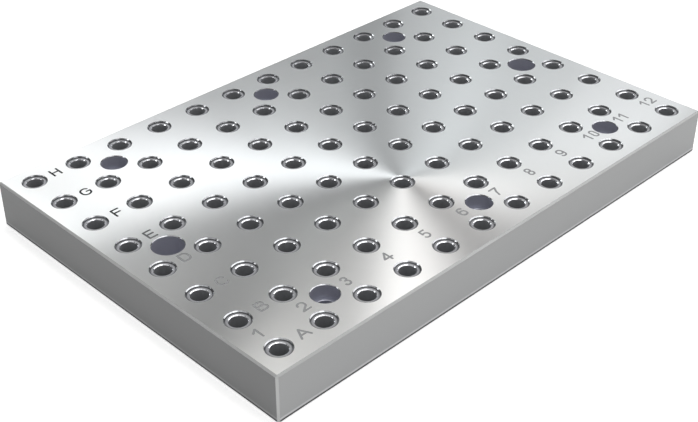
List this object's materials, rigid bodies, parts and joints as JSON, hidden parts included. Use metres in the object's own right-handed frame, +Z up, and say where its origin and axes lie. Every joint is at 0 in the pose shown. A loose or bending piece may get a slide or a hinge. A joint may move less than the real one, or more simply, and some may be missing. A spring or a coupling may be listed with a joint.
{
  "type": "modular fixture plate",
  "caption": "Thick ground steel plate with a square grid of bushed locating and threaded holes, counterbored mounting holes and two centring bores.",
  "frame": {"origin": "centre of the plate's underside", "axes": "+X along the long side towards the highest column number, +Y along the short side towards row H, +Z up out of the working face"},
  "size_m": [0.6, 0.4, 0.05],
  "materials": {
    "ground_steel": "fine circular ground steel, bright, with chamfered edges",
    "bush_steel": "hardened and ground steel, slightly darker than the plate"
  },
  "bodies": {
    "root": {"plate": "ground_steel", "alignment_bushes": "bush_steel"}
  },
  "joints": []
}
